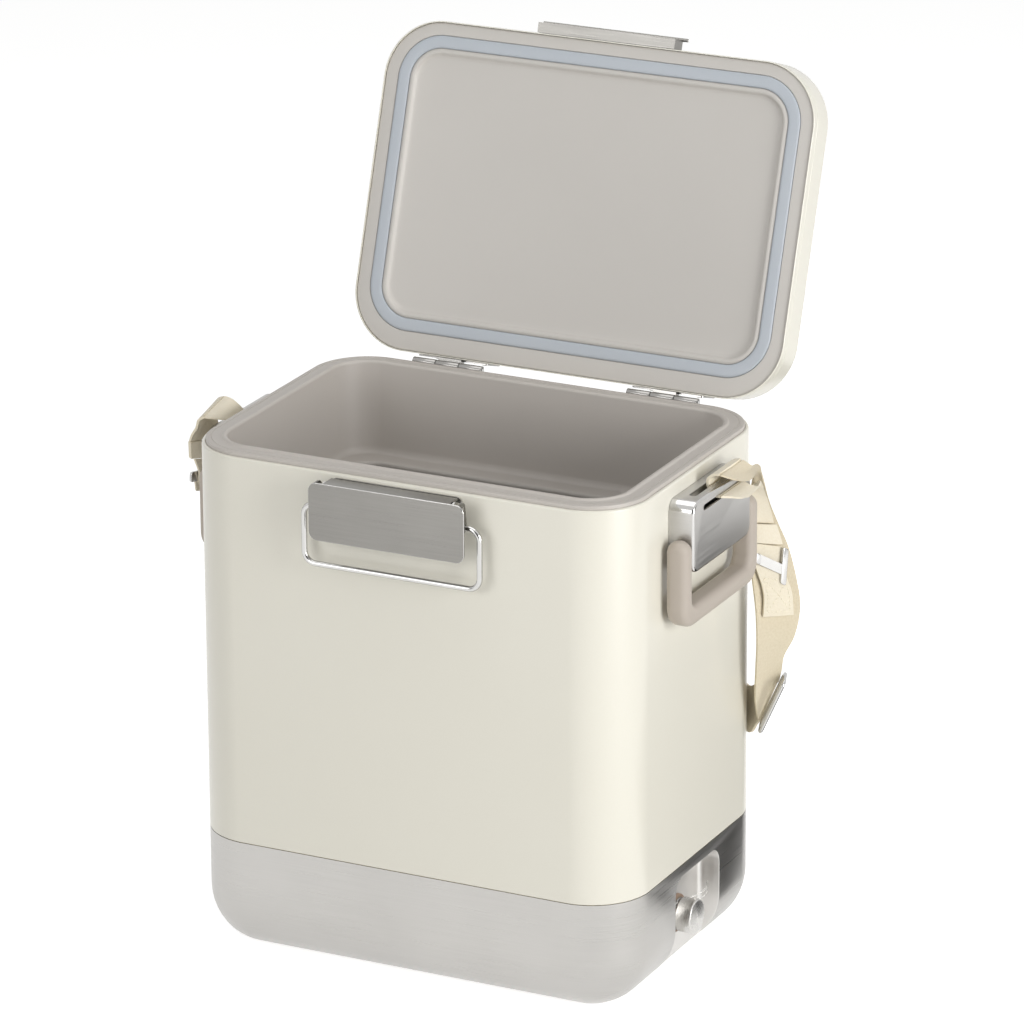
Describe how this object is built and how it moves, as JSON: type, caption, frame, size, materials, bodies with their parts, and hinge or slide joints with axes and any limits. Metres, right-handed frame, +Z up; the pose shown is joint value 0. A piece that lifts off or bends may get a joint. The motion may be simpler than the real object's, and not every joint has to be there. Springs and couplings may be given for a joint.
{
  "type": "cool box",
  "caption": "Hard-sided steel cool box with an open hinged lid, draw latch, drop side handles, drain plug and webbing shoulder strap.",
  "frame": {"origin": "centre of the underside of the base pad, which stands on the ground", "axes": "+Z up, -Y towards the front with the latch, +X to the side with the drain"},
  "size_m": [0.4425, 0.3978, 0.6593],
  "materials": {
    "shell_paint": "cream paint, satin",
    "base_steel": "brushed along the length",
    "bracket_steel": "brushed, polished edges",
    "polished_steel": "polished",
    "tub_plastic": "warm grey, moulded",
    "lid_plastic": "warm grey, moulded",
    "grip_plastic": "warm grey, satin",
    "gasket_rubber": "pale blue grey",
    "washer_rubber": "brown",
    "seal_rubber": "black",
    "foam": "rigid foam, hidden",
    "webbing": "woven, cream",
    "clear_plastic": "clear, flexible"
  },
  "bodies": {
    "cooler_body": {"base_pad": "seal_rubber", "base_tray": "base_steel", "bracket_back_plate_left": "bracket_steel", "bracket_back_plate_right": "bracket_steel", "bracket_screw_left_1": "polished_steel", "bracket_screw_left_2": "polished_steel", "bracket_screw_right_1": "polished_steel", "bracket_screw_right_2": "polished_steel", "drain_spout": "tub_plastic", "drain_tether": "clear_plastic", "drain_washer": "washer_rubber", "foam_core": "foam", "handle_bracket_left": "bracket_steel", "handle_bracket_right": "bracket_steel", "handle_pin_left": "polished_steel", "handle_pin_right": "polished_steel", "hinge_body_leaf_left": "polished_steel", "hinge_body_leaf_right": "polished_steel", "hinge_pin_left": "polished_steel", "hinge_pin_right": "polished_steel", "inner_tub": "tub_plastic", "latch_base": "bracket_steel", "latch_pin": "polished_steel", "latch_rivet_1": "polished_steel", "latch_rivet_2": "polished_steel", "outer_shell": "shell_paint", "strap_back": "webbing", "strap_drop_left": "webbing", "strap_drop_right": "webbing", "strap_hook_left": "polished_steel", "strap_hook_right": "polished_steel", "strap_link_left": "webbing", "strap_link_right": "webbing", "strap_loop_left": "webbing", "strap_loop_right": "webbing", "strap_patch_left": "webbing", "strap_patch_right": "webbing", "strap_sleeve_left": "webbing", "strap_sleeve_right": "webbing", "strap_slider": "polished_steel", "strap_tail_left": "webbing", "strap_tail_right": "webbing"},
    "lid": {"hinge_lid_leaf_left": "polished_steel", "hinge_lid_leaf_right": "polished_steel", "keeper_rivet_1": "polished_steel", "keeper_rivet_2": "polished_steel", "latch_keeper": "bracket_steel", "lid_foam": "foam", "lid_gasket": "gasket_rubber", "lid_liner": "lid_plastic", "lid_shell": "shell_paint"},
    "latch_lever": {"latch_lever": "bracket_steel"},
    "latch_bail": {"latch_bail": "polished_steel"},
    "handle_left": {"handle_grip_left": "grip_plastic"},
    "handle_right": {"handle_grip_right": "grip_plastic"},
    "plug_ring": {"tether_ring": "clear_plastic"},
    "drain_plug": {"drain_plug": "polished_steel", "plug_seal": "seal_rubber"}
  },
  "joints": [
    {"name": "lid_hinge", "type": "hinge", "parent": "cooler_body", "child": "lid", "pos_m": [0, 0.1345, 0.4039], "axis": [1, 0, 0], "range_deg": [0, 108.5]},
    {"name": "latch_lever_pivot", "type": "hinge", "parent": "cooler_body", "child": "latch_lever", "pos_m": [0, -0.14105, 0.3965], "axis": [-1, 0, 0], "range_deg": [0, 110]},
    {"name": "latch_bail_pivot", "type": "hinge", "parent": "latch_lever", "child": "latch_bail", "pos_m": [0, -0.13905, 0.3815], "axis": [1, 0, 0], "range_deg": [-187, 0]},
    {"name": "handle_left_swing", "type": "hinge", "parent": "cooler_body", "child": "handle_left", "pos_m": [-0.195, 0, 0.357], "axis": [0, 1, 0], "range_deg": [0, 90]},
    {"name": "handle_right_swing", "type": "hinge", "parent": "cooler_body", "child": "handle_right", "pos_m": [0.195, 0, 0.357], "axis": [0, -1, 0], "range_deg": [0, 90]},
    {"name": "plug_travel", "type": "slide", "parent": "cooler_body", "child": "plug_ring", "axis": [1, 0, 0], "range_m": [0, 0.009]},
    {"name": "plug_turn", "type": "hinge", "parent": "plug_ring", "child": "drain_plug", "pos_m": [0.178, 0, 0.0445], "axis": [1, 0, 0], "range_deg": [0, 1081]}
  ],
  "couplings": [
    {"joint": "plug_turn", "follows": "plug_travel", "rad_per_m": 2094.4}
  ]
}
